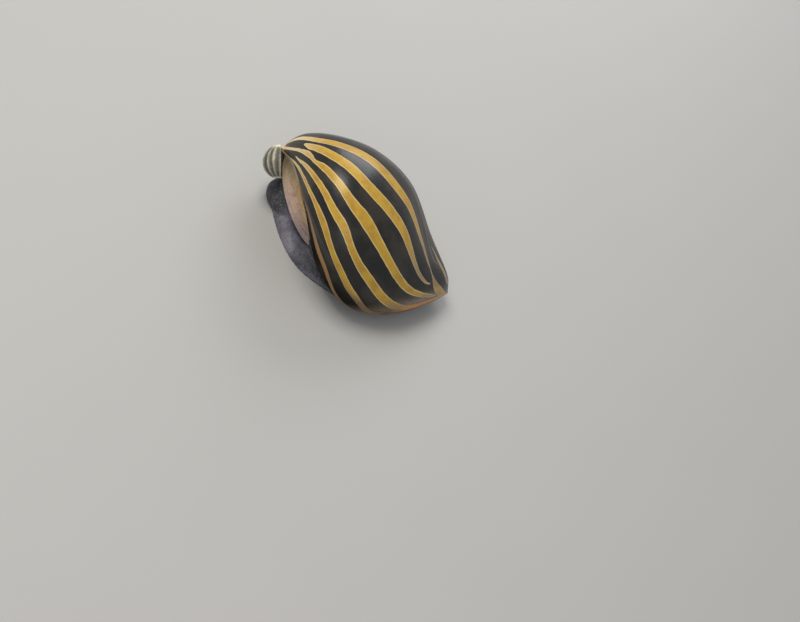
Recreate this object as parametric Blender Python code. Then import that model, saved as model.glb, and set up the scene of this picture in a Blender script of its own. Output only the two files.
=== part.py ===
"""Zebra nerite snail, life size, as a still model crawling on a level floor.

Metres, +Z up, head towards -Y, the animal's right towards -X, flat of the sole at z = 0.
"""

import math

import bmesh
import bpy
from mathutils import Matrix, Vector

mm = 0.001

# driving dimensions, millimetres and degrees
shellTurn = 18.0  # long line of the shell turned from the line of travel
shellLift = 0.8  # shell raised above its rails
gap = 0.3  # clearance between touching parts

# rails of the body whorl, back pole to front pole, in the shell's own frame
backPole = (2.3, 11.9, 5.4)
frontPole = (1.5, -12.7, 0.9)
rightRail = ((-1.0, 9.8, 7.0), (-6.4, 6.6, 7.8), (-9.7, 2.1, 6.3),
             (-9.7, -2.8, 3.6), (-6.9, -7.6, 2.2), (-1.6, -11.3, 1.4))
crestRail = ((1.2, 10.3, 8.6), (-1.8, 6.9, 11.7), (-2.7, 2.6, 12.4),
             (-2.0, -2.6, 10.3), (-1.5, -7.6, 6.1), (0.5, -11.3, 3.3))
leftRail = ((5.5, 10.4, 4.7), (7.7, 6.8, 4.0), (9.4, 2.1, 3.5),
            (9.8, -2.8, 2.5), (6.9, -7.6, 1.3), (3.4, -11.3, 0.9))
baseRail = ((4.7, 10.2, 2.7), (7.1, 6.7, 1.5), (8.9, 2.1, 1.2),
            (9.2, -2.8, 0.7), (6.7, -7.5, 0.6), (3.0, -11.2, 0.6))
lipRail = ((1.4, 9.6, 4.9), (-2.0, 6.4, 3.6), (-6.9, 1.9, 1.3),
           (-8.9, -2.8, 0.5), (-6.5, -7.6, 0.5), (-1.2, -11.2, 0.6))
rightFullness = 2.05  # exponent of the curve from the right edge to the crest
leftFullness = 1.8
tuckAngle = 75.0  # degrees that the wall turns under at the lip and at the base
lipFullness = (0.2, 1.0, 0.45, 0.65)  # of that turn at the rear and front, and where it changes
endMargin = 0.015  # share of the long line from each pole to the nearest section
lengthSteps = 34  # cross-sections of the body whorl
arcSteps = 12  # points on each long arc of a cross-section
underSteps = 5  # points on each arc that turns under

spireCentre = (1.39, 11.04, 4.35)  # dome of the worn early whorl, under the back pole
spireHalf = (2.05, 1.6, 1.9)  # backwards, to either side, and up to the apex
spireAcross = (0.326, -0.850, 0.415)
spireUp = (0.558, 0.525, 0.642)
spireFar = 2.0  # its growth away from the lip, under the back of the whorl
spireFront = 1.3  # growth of its front half there
spireFlat = 0.03  # share left of its front half where the lip passes it
spireTurn = (0.3, 0.95)  # from flat to full, as shares of its half breadth
apertureWall = 0.8  # shell thickness at the lip
apertureFloor = 0.2  # height at which the vault's arch springs
apertureTop = 3.3  # ceiling of the hollow under the shell
apertureSpan = (0.3, 0.89)  # share of the long line that the hollow takes
apertureRoof = 0.6  # most share of the crest's height that the hollow reaches
archFullness = 0.7  # exponent of the arch of the hollow
vaultClosing = (4, 0.9)  # squareness of its long section, and depth lost at the ends
mantleSpan = (0.33, 0.64)
deckShare = 0.66  # place of the deck's edge between the lip and the left wall
deckWall = 0.9
deckThickness = 0.9
deckClosing = (6, 0.7)
deckRise = 0.1  # of its lower face over the base
deckBevel = (0.06, 0.6)  # share of its breadth, and of its thickness left at the edge
deckSpan = (0.2, 0.7)
vaultSteps, archSteps, deckSteps = 18, 12, 16

footCentre = (-1.2, 1.0)
footHalf = (6.0, 10.2, 1.7)
footNarrowing = 0.52  # towards the tail
footSway = 1.3  # of the tail towards the left
footTaper = 1.6  # exponent of both towards the tail
footFront = 0.3  # narrowing towards the head
lobeCentre = (-1.2, 7.4, 1.2)  # lobe of the tail that carries the operculum
lobeHalf = (2.3, 3.6, 2.3)
lobeBottom = 0.1
operculumCentre = (-0.42, 6.75, 3.0)
operculumHalf = (5.8, 1.9, 0.36)
operculumLong = (0.64, 0.70, 0.31)
operculumOut = (-0.28, 0.85, -0.45)
headCentre = (0.5, -6.8, 1.9)
headHalf = (2.4, 2.0, 1.2)
snoutCentre = (0.9, -8.7, 1.15)
snoutHalf = (1.6, 0.9, 0.75)
tentacleRadius = (0.34, 0.12)  # at the root and at the tip
tentaclePaths = {
    "right": ((-1.8, -7.4, 1.45), (-2.4, -8.2, 1.4), (-2.7, -8.8, 1.2), (-2.9, -9.3, 0.9)),
    "left": ((2.7, -7.6, 1.35), (4.6, -8.9, 0.85), (6.6, -9.6, 0.5), (8.8, -9.9, 0.42)),
}
tentacleSteps = 6  # rings in each length
tentacleBreak = 0.012  # half of the clearance between lengths, as a share of the feeler
tubeRound = 0.3  # rounding of a tube's ends, as a share of its radius
eyeRadius = 0.3
stalkRadii = (0.34, 0.31, 0.28)
stalkRoot = (0.15, 0.75, 0.25)  # outward, back and up from the root of the feeler
stalkReach = (0.8, -0.1, 0.15)
eyeRise = 0.03


def clearScene():
    for obj in list(bpy.data.objects):
        bpy.data.objects.remove(obj, do_unlink=True)


def newCollection(name):
    group = bpy.data.collections.new(name)
    bpy.context.scene.collection.children.link(group)
    return group


def material(name, colour, roughness, coat=0.0):
    mat = bpy.data.materials.new(name)
    mat.use_nodes = True
    bsdf = mat.node_tree.nodes["Principled BSDF"]
    bsdf.inputs["Base Color"].default_value = (*colour, 1.0)
    bsdf.inputs["Roughness"].default_value = roughness
    bsdf.inputs["Coat Weight"].default_value = coat
    mat.diffuse_color = (*colour, 1.0)
    return mat


def curvePoint(path, u):
    """Point at u, from 0 to 1, of a smooth curve through the points of the path."""
    points = [Vector(p) for p in path]
    before = points[0] * 2 - points[1]
    after = points[-1] * 2 - points[-2]
    padded = [before, *points, after]
    k = min(int(u * (len(points) - 1)), len(points) - 2)
    t = u * (len(points) - 1) - k
    p0, p1, p2, p3 = padded[k:k + 4]
    return 0.5 * (2 * p1 + (p2 - p0) * t + (2 * p0 - 5 * p1 + 4 * p2 - p3) * t * t
                  + (3 * p1 - p0 - 3 * p2 + p3) * t ** 3)


def railPoint(rail, u):
    return curvePoint((backPole, *rail, frontPole), u)


def superArc(side, top, fullness, steps):
    """Points from the side, where the wall stands upright, to the top, where it is level."""
    found = []
    for k in range(steps + 1):
        a = math.pi / 2 * k / steps
        across = math.cos(a) ** (2 / fullness)
        up = math.sin(a) ** (2 / fullness)
        mix = k / steps
        found.append(Vector((top.x + (side.x - top.x) * across,
                             side.y + (top.y - side.y) * mix,
                             side.z + (top.z - side.z) * up)))
    return found


def underArc(side, foot, fullness, steps):
    """Points from the side down and in to the foot of the wall, in a line at fullness 0."""
    found = []
    for k in range(steps + 1):
        whole = math.radians(tuckAngle)
        a = whole * k / steps
        mix = k / steps
        across = (1 - math.cos(a)) / (1 - math.cos(whole))
        down = math.sin(a) / math.sin(whole)
        share = Vector((mix, mix, mix)).lerp(Vector((across, mix, down)), fullness)
        found.append(side + (foot - side) * share)
    return found


def shellSection(u):
    lip = railPoint(lipRail, u)
    right = railPoint(rightRail, u)
    crest = railPoint(crestRail, u)
    left = railPoint(leftRail, u)
    base = railPoint(baseRail, u)
    rear, front, start, stop = lipFullness
    fullness = rear + (front - rear) * min(max((u - start) / (stop - start), 0.0), 1.0)
    ring = list(reversed(underArc(right, lip, fullness, underSteps)))
    ring += superArc(right, crest, rightFullness, arcSteps)[1:]
    ring += list(reversed(superArc(left, crest, leftFullness, arcSteps)))[1:]
    ring += underArc(left, base, 1.0, underSteps)[1:]
    return ring


def loft(name, rings, firstPole, lastPole):
    """Closed skin over rings of equal length, each end closed to a pole."""
    bm = bmesh.new()
    loops = [[bm.verts.new(p * mm) for p in ring] for ring in rings]
    first = bm.verts.new(Vector(firstPole) * mm)
    last = bm.verts.new(Vector(lastPole) * mm)
    count = len(loops[0])
    for a, b in zip(loops, loops[1:]):
        for k in range(count):
            n = (k + 1) % count
            bm.faces.new((a[k], a[n], b[n], b[k]))
    for k in range(count):
        n = (k + 1) % count
        bm.faces.new((first, loops[0][n], loops[0][k]))
        bm.faces.new((last, loops[-1][k], loops[-1][n]))
    return finish(bm, name)


def finish(bm, name):
    bmesh.ops.recalc_face_normals(bm, faces=bm.faces)
    if bm.calc_volume(signed=True) < 0:
        bmesh.ops.reverse_faces(bm, faces=bm.faces)
    mesh = bpy.data.meshes.new(name)
    bm.to_mesh(mesh)
    bm.free()
    mesh.shade_smooth()
    return bpy.data.objects.new(name, mesh)


def shellPlace():
    return Matrix.Rotation(math.radians(shellTurn), 4, "Z") @ Matrix.Translation((0, 0, shellLift * mm))


def inShellFrame(obj):
    obj.data.transform(shellPlace())
    return obj


def eased(share):
    """Place along the long line, with closer sections towards both poles."""
    return endMargin + (1 - 2 * endMargin) * (0.5 - 0.5 * math.cos(math.pi * share))


def bodyWhorl():
    rings = [shellSection(eased(k / (lengthSteps - 1))) for k in range(lengthSteps)]
    return inShellFrame(loft("shell_body_whorl", rings, backPole, frontPole))


def closing(k, steps, form):
    """Share of the full height of section k, lower towards both ends."""
    squareness, depth = form
    return math.sqrt(1 - depth * abs(2 * k / (steps - 1) - 1) ** squareness)


def vault(name, inset, bottom, span):
    """Low vault under the shell, between the lip and the edge of the deck."""
    rings = []
    for k in range(vaultSteps):
        u = span[0] + (span[1] - span[0]) * k / (vaultSteps - 1)
        lip = railPoint(lipRail, u)
        x0 = lip.x + apertureWall + inset
        x1 = lip.x + deckShare * (railPoint(baseRail, u).x - lip.x) - inset
        roof = min(apertureTop, railPoint(crestRail, u).z * apertureRoof)
        rise = roof * closing(k, vaultSteps, vaultClosing) - inset
        arch = []
        for j in range(archSteps + 1):
            a = math.pi * (1 - j / archSteps)
            x = (x0 + x1) / 2 + (x1 - x0) / 2 * math.cos(a)
            arch.append(Vector((x, lip.y, apertureFloor + rise * math.sin(a) ** archFullness)))
        rings.append([Vector((x0, lip.y, bottom)), *arch, Vector((x1, lip.y, bottom))])
    ends = [sum(ring, Vector()) / len(ring) for ring in (rings[0], rings[-1])]
    return inShellFrame(loft(name, rings, *ends))


def deckPlate(name):
    """Flat shelf that closes the left of the shell from below."""
    bevel, thin = deckBevel
    rings = []
    for k in range(deckSteps):
        u = deckSpan[0] + (deckSpan[1] - deckSpan[0]) * k / (deckSteps - 1)
        base = railPoint(baseRail, u)
        lipX = railPoint(lipRail, u).x
        x0 = lipX + deckShare * (base.x - lipX) + gap
        width = base.x - deckWall - x0
        low = base.z + deckRise
        rise = deckThickness * closing(k, deckSteps, deckClosing)
        outline = ((0, 0), (bevel, 0), (0.5, 0), (1 - bevel, 0), (1, 0),
                   (1, thin), (1 - bevel, 1), (0.5, 1), (bevel, 1), (0, thin))
        rings.append([Vector((x0 + width * across, base.y, low + rise * up)) for across, up in outline])
    ends = [sum(ring, Vector()) / len(ring) for ring in (rings[0], rings[-1])]
    return inShellFrame(loft(name, rings, *ends))


def ellipsoid(name, centre, half, segments=32, rings=16):
    bm = bmesh.new()
    bmesh.ops.create_uvsphere(bm, u_segments=segments, v_segments=rings, radius=1.0)
    bmesh.ops.scale(bm, vec=Vector(half) * mm, verts=bm.verts)
    bmesh.ops.translate(bm, vec=Vector(centre) * mm, verts=bm.verts)
    return finish(bm, name)


def applied(obj):
    """The object's mesh as its modifiers leave it, with only its largest closed surface."""
    bpy.context.view_layer.update()
    graph = bpy.context.evaluated_depsgraph_get()
    mesh = bpy.data.meshes.new_from_object(obj.evaluated_get(graph))
    obj.modifiers.clear()
    obj.data = mesh
    bm = bmesh.new()
    bm.from_mesh(mesh)
    bmesh.ops.remove_doubles(bm, verts=bm.verts, dist=0.01 * mm)
    left = set(bm.verts)
    islands = []
    while left:
        island, queue = set(), [left.pop()]
        while queue:
            vert = queue.pop()
            island.add(vert)
            for edge in vert.link_edges:
                other = edge.other_vert(vert)
                if other in left:
                    left.discard(other)
                    queue.append(other)
        islands.append(island)
    islands.sort(key=len)
    for island in islands[:-1]:
        bmesh.ops.delete(bm, geom=list(island), context="VERTS")
    bm.to_mesh(mesh)
    bm.free()
    mesh.shade_smooth()
    return obj


def grown(obj, by):
    """Helper copy of the object, its skin moved out by this much."""
    copy = obj.copy()
    copy.data = obj.data.copy()
    helpers.objects.link(copy)
    copy.hide_render = True
    copy.display_type = "WIRE"
    push = copy.modifiers.new("push", "DISPLACE")
    push.strength = by * mm
    push.mid_level = 0.0
    return copy


def carve(obj, others, by=gap):
    """Clears the others, grown by the gap, out of the object."""
    for other in others:
        cut = obj.modifiers.new("clear", "BOOLEAN")
        cut.operation = "DIFFERENCE"
        cut.solver = "MANIFOLD"
        cut.object = grown(other, by)
        applied(obj)
    return obj


def unite(obj, other):
    join = obj.modifiers.new("join", "BOOLEAN")
    join.operation = "UNION"
    join.solver = "MANIFOLD"
    join.object = other
    other.hide_render = True
    other.display_type = "WIRE"
    return applied(obj)


def foot():
    """Broad creeping foot: a flat sole under a low dome, with the tail's lobe on it."""
    bm = bmesh.new()
    bmesh.ops.create_uvsphere(bm, u_segments=56, v_segments=20, radius=1.0)
    bmesh.ops.bisect_plane(bm, geom=[*bm.verts, *bm.edges, *bm.faces], plane_co=(0, 0, 0),
                           plane_no=(0, 0, 1), clear_inner=True)
    bmesh.ops.holes_fill(bm, edges=[edge for edge in bm.edges if edge.is_boundary])
    for vert in bm.verts:
        tail = max(0.0, vert.co.y) ** footTaper
        head = min(0.0, vert.co.y) ** 2
        reach = vert.co.x * footHalf[0] * (1 - footNarrowing * tail - footFront * head)
        vert.co.x = (reach + footCentre[0] + footSway * tail) * mm
        vert.co.y = (vert.co.y * footHalf[1] + footCentre[1]) * mm
        vert.co.z = vert.co.z * footHalf[2] * mm
    sole = finish(bm, "foot")
    lobe = ellipsoid("lobe", lobeCentre, lobeHalf, 32, 20)
    under = bmesh.new()
    under.from_mesh(lobe.data)
    bmesh.ops.bisect_plane(under, geom=[*under.verts, *under.edges, *under.faces],
                           plane_co=(0, 0, lobeBottom * mm), plane_no=(0, 0, 1), clear_inner=True)
    bmesh.ops.holes_fill(under, edges=[edge for edge in under.edges if edge.is_boundary])
    under.to_mesh(lobe.data)
    under.free()
    return sole, lobe


def turnedTo(obj, first, second, centre):
    """Turns the object's X to the first direction and its Y towards the second, then moves it."""
    x = Vector(first).normalized()
    y = (Vector(second) - x * x.dot(Vector(second))).normalized()
    turn = Matrix((x, y, x.cross(y))).transposed().to_4x4()
    obj.data.transform(Matrix.Translation(Vector(centre) * mm) @ turn)
    return inShellFrame(obj)


def operculum():
    """Half-moon plate carried on the tail, under the rear of the lip."""
    plate = ellipsoid("operculum", (0, 0, 0), operculumHalf, 36, 12)
    return turnedTo(plate, operculumLong, operculumOut, operculumCentre)


def apexDome():
    """Worn early whorl: a dome behind the mouth, its near front pressed flat beside the lip."""
    bm = bmesh.new()
    bmesh.ops.create_uvsphere(bm, u_segments=36, v_segments=18, radius=1.0)
    for vert in bm.verts:
        far = min(max((vert.co.y - spireTurn[0]) / (spireTurn[1] - spireTurn[0]), 0.0), 1.0)
        if vert.co.x > 0:
            vert.co.x *= spireFlat + (spireFront - spireFlat) * far
        if vert.co.y > 0:
            vert.co.y *= spireFar
    bmesh.ops.scale(bm, vec=Vector(spireHalf) * mm, verts=bm.verts)
    away = Vector(spireUp).cross(Vector(spireAcross))
    return turnedTo(finish(bm, "shell_spire"), spireAcross, away, spireCentre)


def tube(name, points, radii, sides=12):
    """Closed round tube along the points."""
    rings = []
    for k, point in enumerate(points):
        along = (points[min(k + 1, len(points) - 1)] - points[max(k - 1, 0)]).normalized()
        side = along.cross(Vector((0, 0, 1))).normalized()
        up = side.cross(along)
        rings.append([point + (side * math.cos(a) + up * math.sin(a)) * radii[k]
                      for a in (2 * math.pi * j / sides for j in range(sides))])
    lead = (points[1] - points[0]).normalized() * radii[0] * tubeRound
    tail = (points[-1] - points[-2]).normalized() * radii[-1] * tubeRound
    return loft(name, rings, points[0] - lead, points[-1] + tail)


def tentacle(side):
    """A feeler in three lengths, root to tip."""
    lengths = []
    for part, name in enumerate(("base", "middle", "tip")):
        start = part / 3 + (tentacleBreak if part > 0 else 0)
        stop = (part + 1) / 3 - (tentacleBreak if part < 2 else 0)
        spots = [start + (stop - start) * k / (tentacleSteps - 1) for k in range(tentacleSteps)]
        points = [curvePoint(tentaclePaths[side], u) for u in spots]
        radii = [tentacleRadius[0] + (tentacleRadius[1] - tentacleRadius[0]) * u for u in spots]
        lengths.append(tube(f"tentacle_{side}_{name}", points, radii))
    return lengths


def eyeAndStalk(side):
    """Short stalk beside the root of the feeler, with the eye at its end."""
    outward = Vector((-1 if side == "right" else 1, 1, 1))
    root = Vector(tentaclePaths[side][0]) + outward * Vector(stalkRoot)
    end = root + outward * Vector(stalkReach)
    stalk = tube(f"eyestalk_{side}", [root, root.lerp(end, 0.5), end], stalkRadii)
    centre = end + outward * Vector((eyeRadius + gap, 0, eyeRise))
    eye = ellipsoid(f"eye_{side}", centre, (eyeRadius,) * 3, 16, 10)
    return stalk, eye


def keep(obj, mat):
    obj.data.materials.clear()
    obj.data.materials.append(mat)
    snail.objects.link(obj)
    return obj


clearScene()
snail = newCollection("nerite_snail")
helpers = newCollection("helpers")
stripes = material("shell stripes", (0.40, 0.27, 0.07), 0.3, 0.5)
eroded = material("eroded spire", (0.62, 0.58, 0.45), 0.6)
enamel = material("shell enamel", (0.72, 0.66, 0.52), 0.3, 0.4)
horn = material("operculum horn", (0.52, 0.38, 0.28), 0.4)
skin = material("dark skin", (0.10, 0.11, 0.13), 0.45)
pale = material("speckled skin", (0.25, 0.24, 0.30), 0.45)
black = material("eye", (0.01, 0.01, 0.012), 0.08)

sole, lobe = foot()
keep(sole, pale)
helpers.objects.link(lobe)
unite(sole, lobe)
shell = keep(bodyWhorl(), stripes)
deck = keep(deckPlate("columellar_deck"), enamel)
spire = keep(apexDome(), eroded)
lid = keep(operculum(), horn)
head = keep(ellipsoid("head", headCentre, headHalf), skin)
snout = keep(ellipsoid("snout", snoutCentre, snoutHalf, 24, 12), skin)
mantle = keep(vault("mantle", gap, 0.0, mantleSpan), skin)
footForms = foot()
shellForm = bodyWhorl()
headForm = ellipsoid("head_form", headCentre, headHalf)
lidForm = operculum()

carve(spire, [shellForm, lidForm])
carve(shell, [vault("hollow", 0.0, -2.0, apertureSpan), *footForms, deck])
carve(lid, [shell, *footForms])
carve(head, [*footForms, shell])
carve(snout, [headForm, *footForms, shell])
carve(mantle, [*footForms, headForm, lidForm, deck])
for side in ("right", "left"):
    for length in tentacle(side):
        keep(length, skin)
        if length.name.endswith("base"):
            carve(length, [headForm, *footForms])
    stalk, eye = eyeAndStalk(side)
    carve(keep(stalk, skin), [headForm])
    keep(eye, black)
for helper in list(helpers.objects):
    bpy.data.objects.remove(helper, do_unlink=True)
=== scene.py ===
import math

import bpy
import numpy as np
from mathutils import Matrix, Vector


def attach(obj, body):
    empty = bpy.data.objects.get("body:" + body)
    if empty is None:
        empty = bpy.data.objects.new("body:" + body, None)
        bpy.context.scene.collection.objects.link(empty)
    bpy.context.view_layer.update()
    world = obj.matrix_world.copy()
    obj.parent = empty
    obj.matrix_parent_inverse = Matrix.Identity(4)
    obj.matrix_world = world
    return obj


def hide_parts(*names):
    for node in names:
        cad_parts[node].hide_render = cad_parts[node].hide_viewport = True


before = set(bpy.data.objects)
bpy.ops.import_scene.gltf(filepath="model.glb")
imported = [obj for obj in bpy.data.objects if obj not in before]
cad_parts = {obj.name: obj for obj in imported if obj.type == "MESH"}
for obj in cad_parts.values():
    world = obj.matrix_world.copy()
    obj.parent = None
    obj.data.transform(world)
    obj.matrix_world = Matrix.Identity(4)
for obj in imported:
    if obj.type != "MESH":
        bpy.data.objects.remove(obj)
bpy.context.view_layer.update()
mm = 0.001  # everything below is written in millimetres


# small helpers that the pieces share

def deselectAll():
    if bpy.context.mode != "OBJECT":
        bpy.ops.object.mode_set(mode="OBJECT")
    bpy.ops.object.select_all(action="DESELECT")


def pick(*objs):
    deselectAll()
    for obj in objs:
        obj.select_set(True)
    bpy.context.view_layer.objects.active = objs[0]


def editAll(obj):
    pick(obj)
    bpy.ops.object.mode_set(mode="EDIT")
    bpy.ops.mesh.select_all(action="SELECT")


def leaveEdit():
    bpy.ops.object.mode_set(mode="OBJECT")


def cutBelow(obj, height):
    editAll(obj)
    bpy.ops.mesh.bisect(plane_co=(0, 0, height), plane_no=(0, 0, 1), clear_inner=True, use_fill=True)
    leaveEdit()


def named(name):
    obj = bpy.context.active_object
    obj.name = name
    obj.data.name = name
    return obj


def bakePlace(obj):
    pick(obj)
    bpy.ops.object.transform_apply(location=True, rotation=True, scale=True)


def smoothAll(obj):
    pick(obj)
    bpy.ops.object.shade_smooth()


def smoothBelow(obj, degrees):
    pick(obj)
    bpy.ops.object.shade_smooth_by_angle(angle=math.radians(degrees))


def addModifier(obj, kind, **settings):
    modifier = obj.modifiers.new(kind.lower(), kind)
    for key, value in settings.items():
        setattr(modifier, key, value)


def applyAll(obj):
    pick(obj)
    for modifier in list(obj.modifiers):
        bpy.ops.object.modifier_apply(modifier=modifier.name)


def gridOf(name, columns, rows):
    deselectAll()
    bpy.ops.mesh.primitive_grid_add(x_subdivisions=columns, y_subdivisions=rows, size=1)
    return named(name)


def ballOf(name, segments, rings):
    deselectAll()
    bpy.ops.mesh.primitive_uv_sphere_add(segments=segments, ring_count=rings, radius=1)
    return named(name)


def vertexArray(obj, what="co"):
    found = np.empty(len(obj.data.vertices) * 3)
    obj.data.vertices.foreach_get(what, found)
    return found.reshape(-1, 3)


def moveVertices(obj, places):
    obj.data.vertices.foreach_set("co", np.asarray(places, float).ravel())
    obj.data.update()


def pointValue(obj, name, values):
    layer = obj.data.attributes.new(name, "FLOAT", "POINT")
    layer.data.foreach_set("value", np.asarray(values, np.float32).ravel())


def smoothly(low, high, x):
    t = np.clip((x - low) / (high - low), 0, 1)
    return t * t * (3 - 2 * t)


# node helpers for the materials

def newMaterial(name):
    mat = bpy.data.materials.new(name)
    mat.use_nodes = True
    return mat, mat.node_tree.nodes["Principled BSDF"]


def node(mat, kind, **settings):
    made = mat.node_tree.nodes.new(kind)
    for key, value in settings.items():
        setattr(made, key, value)
    return made


def feed(mat, socket, source):
    if hasattr(source, "links"):
        mat.node_tree.links.new(source, socket)
    else:
        socket.default_value = source


def attribute(mat, name):
    return node(mat, "ShaderNodeAttribute", attribute_name=name).outputs["Fac"]


def placeFrom(mat, output, stretch=(1, 1, 1)):
    mapping = node(mat, "ShaderNodeMapping")
    mapping.inputs["Scale"].default_value = stretch
    feed(mat, mapping.inputs["Vector"], node(mat, "ShaderNodeTexCoord").outputs[output])
    return mapping.outputs["Vector"]


def noiseOf(mat, place, scale, detail, roughness):
    made = node(mat, "ShaderNodeTexNoise")
    feed(mat, made.inputs["Vector"], place)
    made.inputs["Scale"].default_value = scale
    made.inputs["Detail"].default_value = detail
    made.inputs["Roughness"].default_value = roughness
    return made.outputs["Fac"]


def cellsOf(mat, place, scale):
    made = node(mat, "ShaderNodeTexVoronoi")
    feed(mat, made.inputs["Vector"], place)
    made.inputs["Scale"].default_value = scale
    return made.outputs["Distance"]


def sums(mat, operation, a, b=0.0):
    made = node(mat, "ShaderNodeMath", operation=operation)
    feed(mat, made.inputs[0], a)
    feed(mat, made.inputs[1], b)
    return made.outputs[0]


def plus(mat, a, b):
    return sums(mat, "ADD", a, b)


def minus(mat, a, b):
    return sums(mat, "SUBTRACT", a, b)


def times(mat, a, b):
    return sums(mat, "MULTIPLY", a, b)


def waver(mat, value, amount):
    # a noise made to swing to both sides of zero
    return times(mat, minus(mat, value, 0.5), amount)


def spread(mat, value, low, high, toLow=0.0, toHigh=1.0):
    made = node(mat, "ShaderNodeMapRange", interpolation_type="SMOOTHSTEP")
    for name, item in (("Value", value), ("From Min", low), ("From Max", high),
                       ("To Min", toLow), ("To Max", toHigh)):
        feed(mat, made.inputs[name], item)
    return made.outputs["Result"]


def mixColours(mat, share, a, b):
    made = node(mat, "ShaderNodeMix", data_type="RGBA")
    feed(mat, made.inputs[0], share)
    for socket, colour in ((made.inputs[6], a), (made.inputs[7], b)):
        feed(mat, socket, (*colour, 1.0) if isinstance(colour, tuple) else colour)
    return made.outputs[2]


def bumpFrom(mat, height, strength, depth, below=None):
    made = node(mat, "ShaderNodeBump")
    feed(mat, made.inputs["Height"], height)
    made.inputs["Strength"].default_value = strength
    made.inputs["Distance"].default_value = depth
    if below is not None:
        feed(mat, made.inputs["Normal"], below)
    return made.outputs["Normal"]


# the shell's form: five rails from the back pole to the front pole

shellForm = {
    "turn": 18.0,  # degrees from the line of travel
    "lift": 0.8,
    "backPole": (2.3, 11.9, 5.4),
    "frontPole": (1.5, -12.7, 0.9),
    "right": ((-1.0, 9.8, 7.0), (-6.4, 6.6, 7.8), (-9.7, 2.1, 6.3),
              (-9.7, -2.8, 3.6), (-6.9, -7.6, 2.2), (-1.6, -11.3, 1.4)),
    "crest": ((1.2, 10.3, 8.6), (-1.8, 6.9, 11.7), (-2.7, 2.6, 12.4),
              (-2.0, -2.6, 10.3), (-1.5, -7.6, 6.1), (0.5, -11.3, 3.3)),
    "left": ((5.5, 10.4, 4.7), (7.7, 6.8, 4.0), (9.4, 2.1, 3.5),
             (9.8, -2.8, 2.5), (6.9, -7.6, 1.3), (3.4, -11.3, 0.9)),
    "base": ((4.7, 10.2, 2.7), (7.1, 6.7, 1.5), (8.9, 2.1, 1.2),
             (9.2, -2.8, 0.7), (6.7, -7.5, 0.6), (3.0, -11.2, 0.6)),
    "lip": ((1.4, 9.6, 4.9), (-2.0, 6.4, 3.6), (-6.9, 1.9, 1.3),
            (-8.9, -2.8, 0.5), (-6.5, -7.6, 0.5), (-1.2, -11.2, 0.6)),
    "rightFullness": 2.05,
    "leftFullness": 1.8,
    "tuck": 75.0,  # degrees that the wall turns under at the lip and at the base
    "lipFullness": (0.2, 1.0, 0.45, 0.65),  # of that turn at the rear and front, and where it changes
    "underShare": 0.14,  # of the way around, from the lip to the right edge
}


def railAt(rail, u):
    points = np.array([shellForm["backPole"], *shellForm[rail], shellForm["frontPole"]])
    padded = np.vstack([2 * points[0] - points[1], points, 2 * points[-1] - points[-2]])
    place = np.clip(u, 0, 0.999999) * (len(points) - 1)
    k = place.astype(int)
    t = (place - k)[..., None]
    p0, p1, p2, p3 = (padded[k + step] for step in range(4))
    return 0.5 * (2 * p1 + (p2 - p0) * t + (2 * p0 - 5 * p1 + 4 * p2 - p3) * t * t
                  + (3 * p1 - p0 - 3 * p2 + p3) * t ** 3)


def tuckedUnder(side, edge, share, fullness):
    angle = math.radians(shellForm["tuck"]) * share
    across = (1 - np.cos(angle)) / (1 - math.cos(math.radians(shellForm["tuck"])))
    down = np.sin(angle) / math.sin(math.radians(shellForm["tuck"]))
    bent = np.stack([across, share, down], -1)
    straight = np.stack([share] * 3, -1)
    return side + (edge - side) * (straight + (bent - straight) * fullness)


def archedOver(side, top, fullness, share):
    angle = math.pi / 2 * share
    across = 1 - np.clip(np.cos(angle), 0, 1) ** (2 / fullness)
    up = np.clip(np.sin(angle), 0, 1) ** (2 / fullness)
    return side + (top - side) * np.stack([across, share, up], -1)


def placed(points):
    turn = math.radians(shellForm["turn"])
    x, y, z = np.moveaxis(np.asarray(points, float), -1, 0)
    return np.stack([x * math.cos(turn) - y * math.sin(turn),
                     x * math.sin(turn) + y * math.cos(turn),
                     z + shellForm["lift"]], -1)


def shellPoint(u, w):
    # u runs along the shell from the back pole, w around it from the lip over the crest to the base
    names = ("lip", "right", "crest", "left", "base")
    lip, right, crest, left, base = (railAt(name, u) for name in names)
    edge = shellForm["underShare"]
    arch = 0.5 - edge
    rear, front, start, stop = shellForm["lipFullness"]
    ramp = np.clip((u - start) / (stop - start), 0, 1)
    lipFullness = (rear + (front - rear) * ramp)[..., None]
    parts = (
        (w < edge, tuckedUnder(right, lip, 1 - w / edge, lipFullness)),
        (w < 0.5, archedOver(right, crest, shellForm["rightFullness"], (w - edge) / arch)),
        (w < 1 - edge, archedOver(left, crest, shellForm["leftFullness"], (1 - edge - w) / arch)),
        (w < np.inf, tuckedUnder(left, base, (w - 1 + edge) / edge, 1.0)),
    )
    done = np.zeros(u.shape, bool)
    found = np.zeros(u.shape + (3,))
    for inside, points in parts:
        use = inside & ~done
        found[use] = points[use]
        done |= use
    return found


# stripes: each line holds (along, around, width in mm) from the spire to the front

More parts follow.
